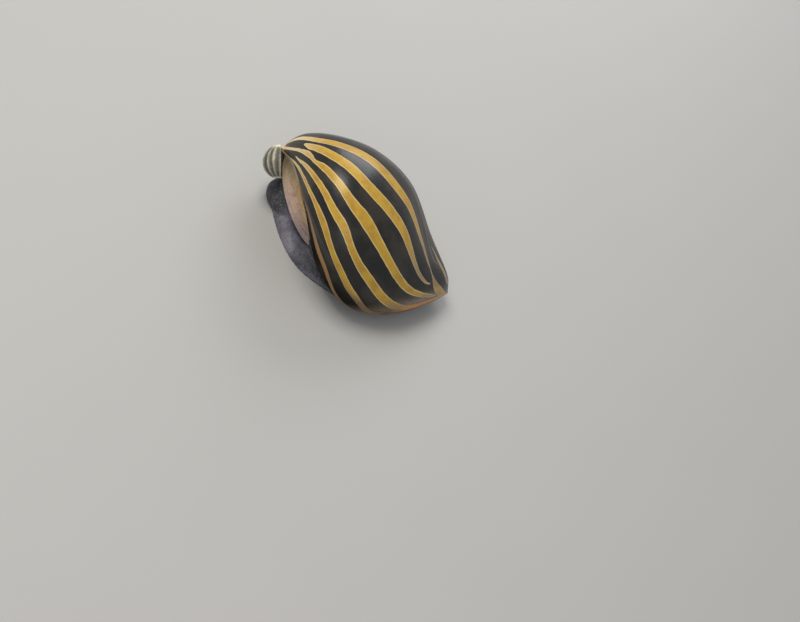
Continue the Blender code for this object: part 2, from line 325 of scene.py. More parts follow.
stripes = {
    "ridge": ((0.04, 0.57, 0.30), (0.10, 0.54, 0.70), (0.17, 0.532, 0.95), (0.28, 0.555, 1.40),
              (0.43, 0.56, 1.90), (0.54, 0.544, 1.70), (0.60, 0.54, 1.30), (0.65, 0.532, 0.95),
              (0.71, 0.515, 0.62), (0.78, 0.43, 0.28), (0.81, 0.372, 0.75), (0.85, 0.31, 1.00),
              (0.91, 0.245, 0.65)),
    "upper": ((0.185, 0.448, 0.80), (0.22, 0.466, 1.05), (0.34, 0.474, 1.35), (0.45, 0.453, 1.50),
              (0.55, 0.446, 1.45), (0.63, 0.438, 1.25), (0.69, 0.412, 0.78), (0.77, 0.36, 0.32)),
    "middle": ((0.03, 0.312, 0.30), (0.11, 0.327, 0.33), (0.16, 0.358, 0.45), (0.205, 0.376, 0.68),
               (0.235, 0.365, 0.46), (0.27, 0.374, 0.76), (0.35, 0.37, 1.00), (0.42, 0.354, 1.25),
               (0.49, 0.347, 1.52), (0.56, 0.329, 1.22), (0.67, 0.298, 1.00), (0.76, 0.268, 0.66),
               (0.83, 0.235, 0.45)),
    "lower": ((0.16, 0.252, 0.20), (0.20, 0.277, 0.42), (0.30, 0.288, 0.72), (0.38, 0.272, 0.98),
              (0.44, 0.264, 1.14), (0.49, 0.24, 1.00), (0.61, 0.204, 1.15), (0.69, 0.16, 1.08),
              (0.74, 0.134, 0.95), (0.79, 0.078, 0.90)),
    "rear": ((0.09, 0.11, 0.40), (0.13, 0.10, 1.00), (0.18, 0.095, 1.50), (0.22, 0.095, 1.30),
             (0.255, 0.095, 0.40)),
    "side": ((0.11, 0.135, 0.20), (0.135, 0.158, 0.25), (0.165, 0.185, 0.32), (0.22, 0.203, 0.40),
             (0.31, 0.201, 0.58), (0.38, 0.19, 1.02), (0.43, 0.166, 0.90), (0.53, 0.134, 1.15),
             (0.59, 0.107, 0.95), (0.66, 0.03, 0.80)),
    "margin": ((0.275, 0.115, 0.10), (0.31, 0.11, 0.70), (0.34, 0.10, 1.20), (0.39, 0.084, 1.50),
               (0.42, 0.078, 1.30), (0.46, 0.066, 1.15), (0.49, 0.05, 1.00), (0.52, 0.028, 0.85),
               (0.565, 0.005, 0.50)),
    "lobe": ((0.745, 0.59, 0.30), (0.78, 0.575, 0.70), (0.83, 0.55, 0.70), (0.88, 0.50, 0.50)),
}
# a pale line just past the crest: a painted reflection along the silhouette
paintedSheenLines = {
    "shoulder": ((0.12, 0.605, 0.20), (0.28, 0.634, 0.38), (0.45, 0.640, 0.45), (0.58, 0.628, 0.42),
                 (0.68, 0.598, 0.40), (0.76, 0.54, 0.20)),
}
farStripes = {
    "first": 0.71,  # way around of the first and last one
    "last": 0.97,
    "count": 4,
    "width": 1.25,
    "slimmer": 0.12,  # share that every other one is slimmer
    "wander": 0.018,
    "start": (0.08, 0.05),  # way along of the first start, and how much later every other one starts
    "between": (0.25, 0.42, 0.58, 0.74),
    "stop": (0.9, 0.05),
}


def throughPoints(path, u):
    # smooth curve through the path's points, level past both ends
    path = np.array(path)
    x, y = path[:, 0], path[:, 1:]
    slopes = np.gradient(y, x, axis=0)
    k = np.clip(np.searchsorted(x, u) - 1, 0, len(x) - 2)
    h = x[k + 1] - x[k]
    t = np.clip((u - x[k]) / h, 0, 1)[..., None]
    h = h[..., None]
    return ((1 + 2 * t) * (1 - t) ** 2 * y[k] + t * (1 - t) ** 2 * h * slopes[k]
            + t * t * (3 - 2 * t) * y[k + 1] + t * t * (t - 1) * h * slopes[k + 1])


def farSideStripes():
    found = {}
    for k in range(farStripes["count"]):
        share = k / (farStripes["count"] - 1)
        around = farStripes["first"] + (farStripes["last"] - farStripes["first"]) * share
        width = farStripes["width"] * (1 - farStripes["slimmer"] * (k % 2))
        start = farStripes["start"][0] + farStripes["start"][1] * (k % 2)
        stop = farStripes["stop"][0] - farStripes["stop"][1] * (k % 3)
        path = []
        for along in (start, *farStripes["between"], stop):
            sway = farStripes["wander"] * math.sin(9 * along + 2.3 * k)
            swell = 0.25 + 0.75 * math.sin(math.pi * (along - start + 0.05) / (0.95 - start))
            path.append((along, around + sway, width * swell))
        found[f"far{k}"] = path
    return found


# the striped coat of the shell

coat = {
    "rows": 176,
    "columns": 268,
    "wall": 0.32,
    "evenRows": 0.35,  # share of even rows, the rest lie closer at the poles
    "weld": 0.004,
    "crease": 50,  # degrees
    "length": 26.0,  # from pole to pole
    "taper": 0.9,  # a stripe dies away over this length past its last point
    "tip": 0.5,
    "thinnest": 0.04,
    "farAway": 9.0,  # distance kept where no stripe is near
    "girthRows": 181,
    "girthSteps": 361,
    "gold": ((0.575, 0.350, 0.040), (0.465, 0.258, 0.040)),
    "rustFleck": (0.60, 0.26, 0.06),
    "stripeBorder": ((0.74, 0.55, 0.25), (0.61, 0.41, 0.14)),
    "nearSpire": (0.84, 0.68, 0.43),
    # painted shade on the stripes under the lip, where they face down
    "paintedShadeUnderLip": (0.40, 0.23, 0.125),
    "shadedLip": (0.14, 0.095, 0.062),
    "fadedTail": (0.27, 0.195, 0.135),
    "black": ((0.019, 0.018, 0.016), (0.040, 0.034, 0.025)),
    "growthLine": (0.055, 0.050, 0.040),
    # pale lilac of the painted reflection line past the crest
    "paintedSheenLine": (0.20, 0.175, 0.185),
    "rustyApex": (0.16, 0.055, 0.015),
    "haze": ((0.15, 0.112, 0.085), (0.31, 0.22, 0.14)),
    "litBorder": ((0.60, 0.19, 0.045), (0.78, 0.40, 0.10)),
    "apex": (0.80, 0.68, 0.46),
    "lining": ((0.52, 0.47, 0.40), (0.38, 0.33, 0.29)),
    "lipEdge": ((0.90, 0.80, 0.60), (0.78, 0.58, 0.34)),
    "specular": 0.26,
    "varnish": 0.12,
    "varnishRoughness": 0.22,
}


def girthTable():
    # distance in mm around each section, from the lip
    rows = np.linspace(0, 1, coat["girthRows"])
    steps = np.linspace(0, 1, coat["girthSteps"])
    ring = shellPoint(*np.meshgrid(rows, steps, indexing="ij"))
    lengths = np.linalg.norm(np.diff(ring, axis=1), axis=2)
    return np.concatenate([np.zeros((len(rows), 1)), np.cumsum(lengths, axis=1)], axis=1)


def lookUp(table, u, w):
    rows, columns = table.shape
    row = np.clip(u, 0, 1) * (rows - 1)
    column = np.clip(w, 0, 1) * (columns - 1)
    i = np.minimum(row.astype(int), rows - 2)
    j = np.minimum(column.astype(int), columns - 2)
    a, b = row - i, column - j
    return ((table[i, j] * (1 - b) + table[i, j + 1] * b) * (1 - a)
            + (table[i + 1, j] * (1 - b) + table[i + 1, j + 1] * b) * a)


def distanceTo(lines, girth, u, w):
    # mm from each point to the edge of the nearest line, below zero inside it
    here = lookUp(girth, u, w)
    nearest = np.full(u.shape, coat["farAway"])
    for path in lines.values():
        line = throughPoints(path, u)
        first, last = path[0][0], path[-1][0]
        beyond = np.maximum(0, np.maximum(first - u, u - last)) * coat["length"]
        width = np.maximum(line[:, 1], coat["thinnest"]) * np.exp(-beyond / coat["taper"])
        away = np.abs(here - lookUp(girth, u, line[:, 0])) - width / 2
        nearest = np.minimum(nearest, away + np.maximum(0, beyond - coat["tip"]))
    return nearest


def makeCoat():
    shell = gridOf("shell_coat", coat["columns"], coat["rows"])
    flat = vertexArray(shell)
    w, v = flat[:, 0] + 0.5, flat[:, 1] + 0.5
    u = coat["evenRows"] * v + (1 - coat["evenRows"]) * (0.5 - 0.5 * np.cos(math.pi * v))
    girth = girthTable()
    pointValue(shell, "stripeEdge", distanceTo({**stripes, **farSideStripes()}, girth, u, w))
    pointValue(shell, "sheenLineEdge", distanceTo(paintedSheenLines, girth, u, w))
    pointValue(shell, "along", u)
    pointValue(shell, "around", w)

    layer = shell.data.uv_layers.active or shell.data.uv_layers.new(name="UVMap")
    loops = np.empty(len(shell.data.loops), int)
    shell.data.loops.foreach_get("vertex_index", loops)
    layer.data.foreach_set("uv", np.stack([u[loops], w[loops]], -1).ravel())

    moveVertices(shell, placed(shellPoint(u, w)) * mm)
    editAll(shell)
    bpy.ops.mesh.remove_doubles(threshold=coat["weld"] * mm)
    bpy.ops.mesh.normals_make_consistent(inside=False)
    leaveEdit()
    crown = np.argmax(vertexArray(shell)[:, 2])
    if vertexArray(shell, "normal")[crown, 2] < 0:  # an open sheet can come out inside out
        editAll(shell)
        bpy.ops.mesh.flip_normals()
        leaveEdit()
    shell.data.materials.append(zebraMaterial())
    shell.data.materials.append(enamelMaterial("shell_lining", *coat["lining"]))
    shell.data.materials.append(enamelMaterial("lip_edge", *coat["lipEdge"]))
    addModifier(shell, "SOLIDIFY", thickness=coat["wall"] * mm, offset=-1.0, use_even_offset=False,
                material_offset=1, material_offset_rim=2)
    applyAll(shell)
    smoothBelow(shell, coat["crease"])
    return shell


def zebraMaterial():
    mat, skin = newMaterial("zebra_shell")
    along, around = attribute(mat, "along"), attribute(mat, "around")
    edge, sheenEdge = attribute(mat, "stripeEdge"), attribute(mat, "sheenLineEdge")
    place = placeFrom(mat, "Object")
    grow = noiseOf(mat, placeFrom(mat, "UV", (5, 190, 1)), 1.0, 4.0, 0.65)  # growth lines
    ragged = noiseOf(mat, placeFrom(mat, "UV", (46, 30, 1)), 1.0, 3.0, 0.6)
    fleck = noiseOf(mat, placeFrom(mat, "UV", (60, 90, 1)), 1.0, 3.0, 0.6)
    blotch = noiseOf(mat, place, 620, 4.0, 0.6)
    cloud = noiseOf(mat, place, 300, 3.0, 0.5)
    shift = waver(mat, ragged, 0.16)
    border = plus(mat, edge, shift)
    gold = spread(mat, border, 0.035, -0.035)
    deep = spread(mat, border, -0.05, -0.17)

    # gold stripes with a pale border, paler by the spire, painted shade under the lip (browner, then
    # darker) and brown at their ends
    golden = mixColours(mat, spread(mat, blotch, 0.38, 0.66), *coat["gold"])
    golden = mixColours(mat, spread(mat, fleck, 0.60, 0.74), golden, coat["rustFleck"])
    rim = mixColours(mat, spread(mat, grow, 0.4, 0.7), *coat["stripeBorder"])
    stripe = mixColours(mat, deep, rim, golden)
    stripe = mixColours(mat, spread(mat, along, 0.27, 0.07, 0.0, 0.8), stripe, coat["nearSpire"])
    # painted shade: browner and darker stripes on the tucked wall under the lip
    under = times(mat, spread(mat, around, 0.15, 0.09), spread(mat, along, 0.25, 0.33, 0.0, 0.8))
    stripe = mixColours(mat, under, stripe, coat["paintedShadeUnderLip"])
    shaded = times(mat, spread(mat, around, 0.14, 0.09), spread(mat, along, 0.38, 0.60, 0.0, 0.75))
    stripe = mixColours(mat, shaded, stripe, coat["shadedLip"])
    tail = times(mat, spread(mat, along, 0.60, 0.74), spread(mat, around, 0.30, 0.40, 0.0, 0.8))
    stripe = mixColours(mat, tail, stripe, coat["fadedTail"])

    # black ground with growth lines, a painted reflection line just past the crest and rust near the
    # apex
    ground = mixColours(mat, spread(mat, cloud, 0.42, 0.62), *coat["black"])
    ground = mixColours(mat, spread(mat, grow, 0.60, 0.75), ground, coat["growthLine"])
    # painted reflection: a pale streaky line just past the crest
    sheenShare = times(mat, spread(mat, plus(mat, sheenEdge, shift), 0.22, -0.10),
                       spread(mat, grow, 0.40, 0.62, 0.3, 0.6))
    ground = mixColours(mat, sheenShare, ground, coat["paintedSheenLine"])
    ground = mixColours(mat, spread(mat, along, 0.085, 0.045, 0.0, 0.8), ground, coat["rustyApex"])
    colour = mixColours(mat, gold, ground, stripe)

    # worn, hazy front where the stripes run out
    front = minus(mat, along, times(mat, around, 0.75))
    haze = times(mat, spread(mat, front, 0.53, 0.64), spread(mat, around, 0.36, 0.20))
    haze = times(mat, haze, spread(mat, blotch, 0.3, 0.6, 0.6, 0.9))
    hazeColour = mixColours(mat, spread(mat, grow, 0.35, 0.65), *coat["haze"])
    colour = mixColours(mat, haze, colour, hazeColour)

    # orange border, lit through, at the very front
    past = sums(mat, "MAXIMUM", minus(mat, along, 0.78), 0.0)
    margin = plus(mat, times(mat, times(mat, past, past), 5.4), 0.135)
    apart = sums(mat, "ABSOLUTE", minus(mat, plus(mat, around, 0.012), margin))
    lit = times(mat, spread(mat, apart, 0.045, 0.022), spread(mat, along, 0.71, 0.78, 0.0, 0.9))
    litColour = mixColours(mat, spread(mat, fleck, 0.42, 0.6), *coat["litBorder"])
    colour = mixColours(mat, lit, colour, litColour)

    # pale worn apex
    colour = mixColours(mat, spread(mat, along, 0.045, 0.022, 0.0, 0.9), colour, coat["apex"])
    feed(mat, skin.inputs["Base Color"], colour)
    feed(mat, skin.inputs["Roughness"], spread(mat, grow, 0.3, 0.8, 0.26, 0.42))

    # the wall is duller under the lip and just past the crest
    pastCrest = sums(mat, "ABSOLUTE", minus(mat, around, 0.62))
    gloss = times(mat, spread(mat, around, 0.06, 0.20), spread(mat, pastCrest, 0.03, 0.09, 0.3, 1.0))
    feed(mat, skin.inputs["Specular IOR Level"], times(mat, gloss, coat["specular"]))
    feed(mat, skin.inputs["Coat Weight"], times(mat, gloss, coat["varnish"]))
    skin.inputs["Coat Roughness"].default_value = coat["varnishRoughness"]
    fine = bumpFrom(mat, grow, 0.35, 0.05 * mm)
    feed(mat, skin.inputs["Normal"], bumpFrom(mat, gold, 0.25, 0.03 * mm, fine))
    return mat


enamel = {"blotches": 500, "grain": 2600, "grainShare": 0.35, "grainShade": 0.6, "varnish": 0.3}


def enamelMaterial(name, light, dark):
    mat, skin = newMaterial(name)
    place = placeFrom(mat, "Object")
    blotch = noiseOf(mat, place, enamel["blotches"], 4.0, 0.6)
    fine = noiseOf(mat, place, enamel["grain"], 3.0, 0.5)
    colour = mixColours(mat, spread(mat, blotch, 0.35, 0.65), light, dark)
    colour = mixColours(mat, spread(mat, fine, 0.58, 0.72, 0.0, enamel["grainShare"]), colour,
                        tuple(enamel["grainShade"] * c for c in dark))
    feed(mat, skin.inputs["Base Color"], colour)
    feed(mat, skin.inputs["Roughness"], spread(mat, fine, 0.3, 0.7, 0.22, 0.38))
    skin.inputs["Coat Weight"].default_value = enamel["varnish"]
    feed(mat, skin.inputs["Normal"], bumpFrom(mat, fine, 0.2, 0.02 * mm))
    return mat


shell = makeCoat()
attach(shell, "root")
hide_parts("shell_body_whorl")
print("striped coat done:", len(shell.data.polygons), "faces")


# eroded spire: the worn early whorls behind and below the apex

spire = {
    "segments": 220,
    "rings": 110,
    "centre": (1.39, 11.04, 4.35),
    "half": (2.05, 1.6, 1.9),  # backwards, to either side, and up to the apex
    "across": (0.326, -0.850, 0.415),
    "up": (0.558, 0.525, 0.642),
    "far": 2.0,  # growth away from the lip, under the back of the whorl
    "front": 1.3,  # growth of the front half there
    "flat": 0.03,  # share left of the front half where the lip passes it
    "turn": (0.3, 0.95),
    "ridges": 13,
    "ridgeHeight": 0.03,
    "ridgeSway": (1.3, 0.8),
    "cut": 0.93,  # the lower end is a broken edge
    "dish": 0.12,  # how far that end is hollow
    "edge": (0.10, 0.01),
    "dark": ((0.075, 0.072, 0.062), (0.22, 0.21, 0.155)),
    "ridgeTop": (0.68, 0.59, 0.40),
    "pit": (0.20, 0.18, 0.14),
    "top": (0.70, 0.60, 0.42),
    "broken": (0.80, 0.78, 0.68),
    "polePatch": (0.86, 0.76, 0.56),
    "roughness": 0.55,
}


def makeSpire():
    cap = ballOf("shell_apex", spire["segments"], spire["rings"])
    ball = vertexArray(cap)
    around = np.arctan2(ball[:, 1], ball[:, 0])
    first, second = spire["ridgeSway"]
    sway = first * np.sin(3 * around) + second * ball[:, 2] * np.sin(5 * around)
    wave = np.cos(spire["ridges"] * around + sway)
    lift = 1 + spire["ridgeHeight"] * (wave - 1) * (1 - ball[:, 2] ** 6)
    ball[:, :2] *= lift[:, None]
    low = ball[:, 2] < -spire["cut"]
    ball[:, 2] = np.where(low, -spire["cut"] - spire["dish"] * (ball[:, 2] + spire["cut"]), ball[:, 2])
    start, stop = (share - spire["cut"] for share in spire["edge"])
    pointValue(cap, "ridge", wave)
    pointValue(cap, "height", ball[:, 2])
    pointValue(cap, "brokenEdge", smoothly(start, stop, ball[:, 2]) * ~low)
    far = smoothly(*spire["turn"], ball[:, 1])
    pressed = spire["flat"] + (spire["front"] - spire["flat"]) * far
    ball[:, 0] *= np.where(ball[:, 0] > 0, pressed, 1)
    ball[:, 1] *= np.where(ball[:, 1] > 0, spire["far"], 1)
    across = Vector(spire["across"]).normalized()
    away = Vector(spire["up"]).cross(across).normalized()
    axes = np.array([across, away, across.cross(away)])
    points = (ball * np.array(spire["half"])) @ axes + np.array(spire["centre"])
    pointValue(cap, "nearPole", np.linalg.norm(points - np.array(shellForm["backPole"]), axis=1))
    moveVertices(cap, placed(points) * mm)
    smoothAll(cap)
    return cap


def erodedMaterial():
    mat, skin = newMaterial("eroded_spire")
    place = placeFrom(mat, "Object")
    fine = noiseOf(mat, place, 2600, 3.0, 0.6)
    blotch = noiseOf(mat, place, 900, 4.0, 0.7)
    band = plus(mat, attribute(mat, "ridge"), waver(mat, blotch, 2.6))
    colour = mixColours(mat, spread(mat, band, -0.9, 0.4), *spire["dark"])
    colour = mixColours(mat, spread(mat, band, 0.35, 1.3, 0.0, 0.85), colour, spire["ridgeTop"])
    colour = mixColours(mat, spread(mat, fine, 0.50, 0.70, 0.0, 0.6), colour, spire["pit"])
    top = plus(mat, attribute(mat, "height"), waver(mat, blotch, 0.5))
    colour = mixColours(mat, spread(mat, top, 0.84, 1.0, 0.0, 0.85), colour, spire["top"])
    colour = mixColours(mat, attribute(mat, "brokenEdge"), colour, spire["broken"])
    patch = plus(mat, attribute(mat, "nearPole"), waver(mat, blotch, 1.6))
    colour = mixColours(mat, spread(mat, patch, 1.15, 0.7), colour, spire["polePatch"])
    feed(mat, skin.inputs["Base Color"], colour)
    skin.inputs["Roughness"].default_value = spire["roughness"]
    rough = bumpFrom(mat, cellsOf(mat, place, 3600), 0.3, 0.05 * mm)
    feed(mat, skin.inputs["Normal"], bumpFrom(mat, blotch, 0.4, 0.08 * mm, rough))
    return mat


apex = makeSpire()
apex.data.materials.append(erodedMaterial())
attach(apex, "root")
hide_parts("shell_spire")
print("spire done")


# columellar deck: the enamelled shelf that closes the left of the mouth

deck = {
    "rows": 90,
    "columns": 40,
    "along": (0.03, 0.97),
    "edge": 0.66,  # share of the mouth that stays open
    "mouth": (0.18, 0.36, 0.80, 0.94),  # way along where the free edge leaves the lip and is back
    "teeth": 7,
    "toothRow": (0.36, 0.44, 0.66, 0.74),
    "toothStart": 0.4,
    "toothSpan": 0.3,
    "toothDepth": 0.16,
    "thick": 0.5,
    "lift": 0.12,
    "sag": 0.5,
    "sagShape": 0.8,
    "rise": 0.2,
    "rounding": 0.12,
    "crease": 50,  # degrees
    "enamel": ((0.74, 0.68, 0.55), (0.60, 0.50, 0.34)),
}


def comesAndGoes(span, u):
    start, full, fading, gone = span
    return smoothly(start, full, u) * (1 - smoothly(fading, gone, u))


def makeDeck():
    plate = gridOf("shell_deck", deck["columns"], deck["rows"])
    flat = vertexArray(plate)
    s = flat[:, 0] + 0.5
    start, stop = deck["along"]
    u = start + (stop - start) * (flat[:, 1] + 0.5)
    lip, base = railAt("lip", u), railAt("base", u)
    mouth = comesAndGoes(deck["mouth"], u)
    teeth = np.cos(2 * math.pi * deck["teeth"] * (u - deck["toothStart"]) / deck["toothSpan"])
    teeth *= deck["toothDepth"] * comesAndGoes(deck["toothRow"], u)
    points = base + (lip - base) * (s * (1 - deck["edge"] * mouth))[:, None]
    points[:, 0] -= teeth * s ** 6
    sag = deck["sag"] * np.sin(math.pi * s) ** deck["sagShape"]
    points[:, 2] += deck["lift"] + sag * mouth + deck["rise"] * s * mouth
    moveVertices(plate, placed(points) * mm)
    addModifier(plate, "SOLIDIFY", thickness=deck["thick"] * mm, offset=0.0)
    addModifier(plate, "BEVEL", width=deck["rounding"] * mm, segments=2, limit_method="ANGLE")
    applyAll(plate)
    editAll(plate)
    bpy.ops.mesh.normals_make_consistent(inside=False)
    leaveEdit()
    smoothBelow(plate, deck["crease"])
    return plate


plate = makeDeck()
plate.data.materials.append(enamelMaterial("deck_enamel", *deck["enamel"]))
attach(plate, "root")
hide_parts("columellar_deck")
print("deck done")


# operculum: the horny lid carried on the tail

lid = {
    "segments": 96,
    "rings": 48,
    "centre": (-0.42, 6.75, 3.0),
    "half": (5.8, 1.9, 0.30),
    "long": (0.64, 0.70, 0.31),
    "out": (-0.28, 0.85, -0.45),
    "ribs": 0.05,
    "ribTurn": 40,  # radians of the ribs' wave from the middle to the edge
    "ribStop": 0.96,
    "horn": ((0.68, 0.46, 0.30), (0.52, 0.33, 0.24)),
    "streak": (0.27, 0.17, 0.15),
    "line": (0.76, 0.56, 0.38),
    "outerEdge": (0.30, 0.22, 0.22),
    "upperEnd": (0.50, 0.42, 0.22),
    "lowerEnd": (0.22, 0.17, 0.17),
    "glow": (0.86, 0.55, 0.22),
    "roughness": 0.4,
    "varnish": 0.2,
}


def makeLid():
    plate = ballOf("operculum_lid", lid["segments"], lid["rings"])
    long = Vector(lid["long"]).normalized()
    out = (Vector(lid["out"]) - long * long.dot(Vector(lid["out"]))).normalized()
    local = vertexArray(plate)
    radius = np.hypot(local[:, 0], local[:, 1])
    ribs = lid["ribs"] * np.sin(radius * lid["ribTurn"]) * (radius < lid["ribStop"])
    lift = ribs * np.sign(local[:, 2])
    local = local * np.array(lid["half"])
    local[:, 2] += lift
    points = local @ np.array([long, out, long.cross(out)]) + np.array(lid["centre"])
    pointValue(plate, "ring", radius)
    pointValue(plate, "outer", local[:, 1] / lid["half"][1])
    pointValue(plate, "reach", local[:, 0] / lid["half"][0])
    moveVertices(plate, placed(points) * mm)
    smoothAll(plate)
    return plate


def hornMaterial():
    mat, skin = newMaterial("operculum_horn")
    ring, outer, reach = (attribute(mat, name) for name in ("ring", "outer", "reach"))
    blotch = noiseOf(mat, placeFrom(mat, "Object"), 700, 4.0, 0.6)
    streak = noiseOf(mat, placeFrom(mat, "Object", (4.0, 4.0, 0.7)), 700, 3.0, 0.6)
    lines = sums(mat, "SINE", times(mat, plus(mat, ring, times(mat, blotch, 0.08)), 70))
    colour = mixColours(mat, spread(mat, blotch, 0.35, 0.65), *lid["horn"])
    colour = mixColours(mat, spread(mat, streak, 0.48, 0.68, 0.0, 0.6), colour, lid["streak"])
    colour = mixColours(mat, spread(mat, lines, 0.5, 1.0, 0.0, 0.3), colour, lid["line"])
    colour = mixColours(mat, spread(mat, outer, 0.45, 0.95, 0.0, 0.6), colour, lid["outerEdge"])
    colour = mixColours(mat, spread(mat, reach, 0.25, 0.6, 0.0, 0.5), colour, lid["upperEnd"])
    colour = mixColours(mat, spread(mat, reach, -0.25, -0.6, 0.0, 0.75), colour, lid["lowerEnd"])
    # light from the lip's side on the middle of the inner edge
    glow = times(mat, spread(mat, outer, 0.42, 0.10), spread(mat, reach, 0.5, 0.15))
    glow = times(mat, glow, spread(mat, reach, -0.75, -0.30, 0.0, 0.9))
    colour = mixColours(mat, glow, colour, lid["glow"])
    feed(mat, skin.inputs["Base Color"], colour)
    skin.inputs["Roughness"].default_value = lid["roughness"]
    skin.inputs["Coat Weight"].default_value = lid["varnish"]
    feed(mat, skin.inputs["Normal"], bumpFrom(mat, lines, 0.3, 0.03 * mm))
    return mat


lidPiece = makeLid()
lidPiece.data.materials.append(hornMaterial())
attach(lidPiece, "root")
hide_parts("operculum")
print("operculum done")


# one skin for the foot, head, snout, mantle, feelers and eyestalks

body = {
    "footCentre": (-1.2, 1.0),
    "footHalf": (6.0, 10.2, 1.7),
    "footNarrowing": 0.52,  # of the width, towards the tail
    "footTaper": 1.6,  # how late it narrows
    "footSway": 1.3,
    "footFront": 0.3,
    "lobeCentre": (-1.2, 7.4, 1.2),
    "lobeHalf": (2.3, 3.6, 2.3),
    "lobeBottom": 0.1,
    "headCentre": (0.5, -6.8, 1.9),
    "headHalf": (2.4, 2.0, 1.2),
    "snoutCentre": (0.9, -8.7, 1.15),
    "snoutHalf": (1.6, 0.9, 0.75),
    "feelerRoot": 0.34,
    "feelerTip": 0.13,
    "voxel": 0.11,
    "easing": 4,  # rounds of smoothing over the joins
    "dark": ((0.026, 0.028, 0.033), (0.058, 0.056, 0.060)),
    "pale": ((0.10, 0.096, 0.125), (0.22, 0.20, 0.235)),
    "paleShare": 0.75,
    "freckle": (0.26, 0.24, 0.30),
    "crease": (0.02, 0.02, 0.03),
    "glowDepth": (0.4, 0.25, 0.2),
    "glowShare": 0.15,
}
mantle = {
    "along": (0.50, 0.235),  # middle and half length, as shares of the shell
    "fromLip": 0.9,
    "toBase": 0.62,
    "height": 1.1,
    "half": 1.7,
}
feelers = {
    "right": ((-1.8, -7.4, 1.45), (-2.4, -8.2, 1.4), (-2.7, -8.8, 1.2), (-2.9, -9.3, 0.9)),
    "left": ((2.7, -7.6, 1.35), (4.6, -8.9, 0.85), (6.6, -9.6, 0.5), (8.8, -9.9, 0.42)),
}
stalk = {
    "length": 0.8,
    "fromFeeler": (0.15, 0.75, 0.25),  # outwards, back and up from the feeler's root
    "lean": (-0.1, 0.15),  # back and up along it
    "thick": (0.36, 0.29),
    "sunk": 0.5,
}


def ballAt(name, centre, half, segments=48, rings=24):
    deselectAll()
    bpy.ops.mesh.primitive_uv_sphere_add(segments=segments, ring_count=rings, radius=mm,
                                         location=Vector(centre) * mm, scale=half)
    ball = named(name)
    bakePlace(ball)
    return ball


def makeFoot():
    sole = ballOf("sole", 96, 48)
    cutBelow(sole, 0)
    local = vertexArray(sole)
    tail = np.maximum(0, local[:, 1]) ** body["footTaper"]
    head = np.minimum(0, local[:, 1]) ** 2
    narrowed = 1 - body["footNarrowing"] * tail - body["footFront"] * head
    (x, y), half = body["footCentre"], body["footHalf"]
    points = np.stack([local[:, 0] * half[0] * narrowed + x + body["footSway"] * tail,
                       local[:, 1] * half[1] + y, local[:, 2] * half[2]], -1)
    moveVertices(sole, points * mm)
    return sole


def makeLobe():
    lobe = ballAt("tail_lobe", body["lobeCentre"], body["lobeHalf"], 64, 40)
    cutBelow(lobe, body["lobeBottom"] * mm)
    return lobe


def makeFeeler(side):
    deselectAll()
    spots = [Vector(spot) for spot in feelers[side]]
    bpy.ops.curve.primitive_nurbs_path_add(location=(0, 0, 0))
    line = bpy.context.active_object
    line.name = f"feeler_{side}"
    spline = line.data.splines[0]
    for k, point in enumerate(spline.points):
        share = k / (len(spline.points) - 1)
        where = share * (len(spots) - 1)
        low = min(int(where), len(spots) - 2)
        place = spots[low].lerp(spots[low + 1], where - low)
        point.co = (*(place * mm), 1.0)
        point.radius = body["feelerRoot"] + (body["feelerTip"] - body["feelerRoot"]) * share
    spline.use_endpoint_u = True
    line.data.bevel_depth = mm
    line.data.bevel_resolution = 4
    line.data.use_fill_caps = True
    pick(line)
    bpy.ops.object.convert(target="MESH")
    return bpy.context.active_object


def outwards(side):
    return -1 if side == "right" else 1


def stalkEnds(side):
    out, back, up = stalk["fromFeeler"]
    root = Vector(feelers[side][0]) + Vector((outwards(side) * out, back, up))
    return root, root + Vector((outwards(side) * stalk["length"], *stalk["lean"]))


def makeStalk(side):
    root, end = stalkEnds(side)
    along = end - root
    atRoot, atEnd = stalk["thick"]
    deselectAll()
    bpy.ops.mesh.primitive_cone_add(vertices=24, radius1=atRoot * mm, radius2=atEnd * mm,
                                    depth=(along.length + stalk["sunk"]) * mm,
                                    location=(root + end) / 2 * mm,
                                    rotation=along.to_track_quat("Z", "Y").to_euler())
    made = named(f"stalk_{side}")
    bakePlace(made)
    return made


def makeMantle():
    # flesh that fills the mouth of the shell between the lip and the deck
    fill = ballOf("mantle_fill", 64, 32)
    local = vertexArray(fill)
    middle, half = mantle["along"]
    u = middle + half * local[:, 1]
    lip, base = railAt("lip", u), railAt("base", u)
    x0 = lip[:, 0] + mantle["fromLip"]
    x1 = lip[:, 0] + mantle["toBase"] * (base[:, 0] - lip[:, 0])
    across = local[:, 0] / np.maximum(np.sqrt(1 - np.minimum(local[:, 1] ** 2, 0.998)), 0.05)
    shrink = np.sqrt(np.maximum(0, 1 - local[:, 1] ** 6))
    points = np.stack([(x0 + x1) / 2 + (x1 - x0) / 2 * np.clip(across, -1, 1) * shrink,
                       lip[:, 1], mantle["height"] + mantle["half"] * local[:, 2] * shrink], -1)
    moveVertices(fill, placed(points) * mm)
    return fill


def makeSkin():
    parts = [makeFoot(), makeLobe(), ballAt("head_ball", body["headCentre"], body["headHalf"]),
             ballAt("snout_ball", body["snoutCentre"], body["snoutHalf"]), makeMantle()]
    for side in feelers:
        parts += [makeFeeler(side), makeStalk(side)]
    pick(*parts)
    bpy.ops.object.join()
    skin = named("snail_skin")
    addModifier(skin, "REMESH", mode="VOXEL", voxel_size=body["voxel"] * mm)
    addModifier(skin, "SMOOTH", factor=0.5, iterations=body["easing"])
    applyAll(skin)
    smoothAll(skin)
    return skin


